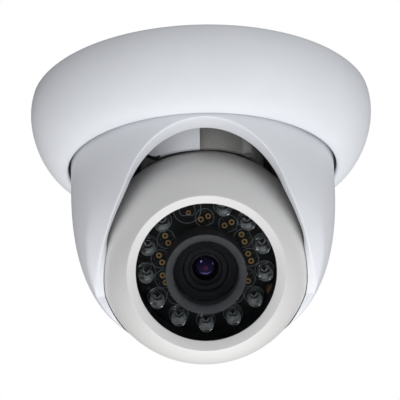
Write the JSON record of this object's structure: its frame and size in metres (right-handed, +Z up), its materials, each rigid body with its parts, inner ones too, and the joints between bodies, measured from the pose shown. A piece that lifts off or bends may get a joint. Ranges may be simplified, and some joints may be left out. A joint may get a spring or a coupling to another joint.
{
  "type": "dome cctv camera",
  "caption": "Ceiling-mounted turret dome security camera: round trim ring, arched shroud, and a ball camera with a ring of infrared lamps behind a flat window.",
  "frame": {"origin": "centre of the face that meets the ceiling, on the pan axis", "axes": "+Z points up into the ceiling along the pan axis, the lens looks towards -Y and down, +X is to the right when one faces the lens"},
  "size_m": [0.1132, 0.1132, 0.0905],
  "materials": {
    "white_abs": "moulded white ABS, fine satin grain",
    "ball_paint": "warm light grey paint with a fine orange peel",
    "cast_aluminium": "die-cast, bare",
    "zinc_steel": "zinc plated",
    "black_steel": "black oxide",
    "epdm_rubber": "matt black",
    "gasket_foam": "open-cell foam, very matt",
    "nylon": "natural nylon",
    "fibre_washer": "pressed fibre",
    "black_abs": "moulded, fine grain",
    "hood_rubber": "moulded silicone rubber, satin",
    "window_glass": "clear, polished",
    "lamp_epoxy": "water-clear epoxy",
    "black_board": "black solder mask with white print",
    "green_board": "green solder mask",
    "photocell": "clear-coated photocell",
    "coated_glass": "polished, violet anti-reflection coating",
    "lens_glass": "polished",
    "filter_glass": "polished, cyan interference coating",
    "chip_epoxy": "moulded epoxy",
    "thermal_silicone": "soft silicone",
    "coil_winding": "enamelled copper wire",
    "brass": "turned"
  },
  "bodies": {
    "base": {"mounting_base": "cast_aluminium", "ceiling_gasket": "gasket_foam", "cable_grommet": "epdm_rubber", "trim_ring": "white_abs", "pan_bearing_ring": "nylon", "pan_retaining_ring": "zinc_steel", "pan_ring_screws": "zinc_steel"},
    "turret": {"pan_carrier": "cast_aluminium", "pan_friction_washer": "fibre_washer", "shroud": "white_abs", "shroud_screws": "zinc_steel", "seat_collar": "white_abs", "seat_pad": "epdm_rubber", "yoke_left": "zinc_steel", "yoke_right": "zinc_steel", "yoke_screws": "zinc_steel"},
    "tilt_frame": {"tilt_ring": "cast_aluminium", "tilt_pivots": "zinc_steel", "roll_stop_screw": "black_steel"},
    "ball": {"front_shell": "ball_paint", "rear_shell": "ball_paint", "shell_seal": "epdm_rubber", "shell_screws": "zinc_steel", "window_glass": "window_glass", "window_gasket": "epdm_rubber", "window_retainer": "black_abs", "retainer_screws": "zinc_steel", "led_board": "black_board", "led_board_screws": "zinc_steel", "ir_leds": "lamp_epoxy", "light_sensor": "photocell", "led_lead": "nylon", "lens_hood": "hood_rubber", "foam_ring": "gasket_foam", "lens_barrel": "black_abs", "front_lens": "coated_glass", "rear_lens": "lens_glass", "lens_holder": "black_abs", "filter_housing": "black_abs", "filter_coil": "coil_winding", "sensor_board": "green_board", "image_sensor": "chip_epoxy", "housing_screws": "zinc_steel", "board_standoffs": "brass", "board_screws": "zinc_steel", "board_connector": "nylon", "main_board": "green_board", "main_board_screws": "zinc_steel", "processor": "chip_epoxy", "thermal_pad": "thermal_silicone", "cable_header": "nylon", "cable_gland": "epdm_rubber"},
    "filter_carriage": {"filter_slide": "black_abs", "ir_cut_filter": "filter_glass", "clear_filter": "lens_glass"}
  },
  "joints": [
    {"name": "pan", "type": "hinge", "parent": "base", "child": "turret", "pos_m": [0, 0, -0.0066], "axis": [0, 0, 1], "range_deg": [-177.5, 177.5]},
    {"name": "tilt", "type": "hinge", "parent": "turret", "child": "tilt_frame", "pos_m": [0, 0, -0.0557], "axis": [1, 0, 0], "range_deg": [-23, 55]},
    {"name": "roll", "type": "hinge", "parent": "tilt_frame", "child": "ball", "pos_m": [0, 0, -0.0557], "axis": [0, -0.8192, -0.5736], "range_deg": [-177.5, 177.5]},
    {"name": "filter_shift", "type": "slide", "parent": "ball", "child": "filter_carriage", "axis": [-1, 0, 0], "range_m": [0, 0.008]}
  ]
}
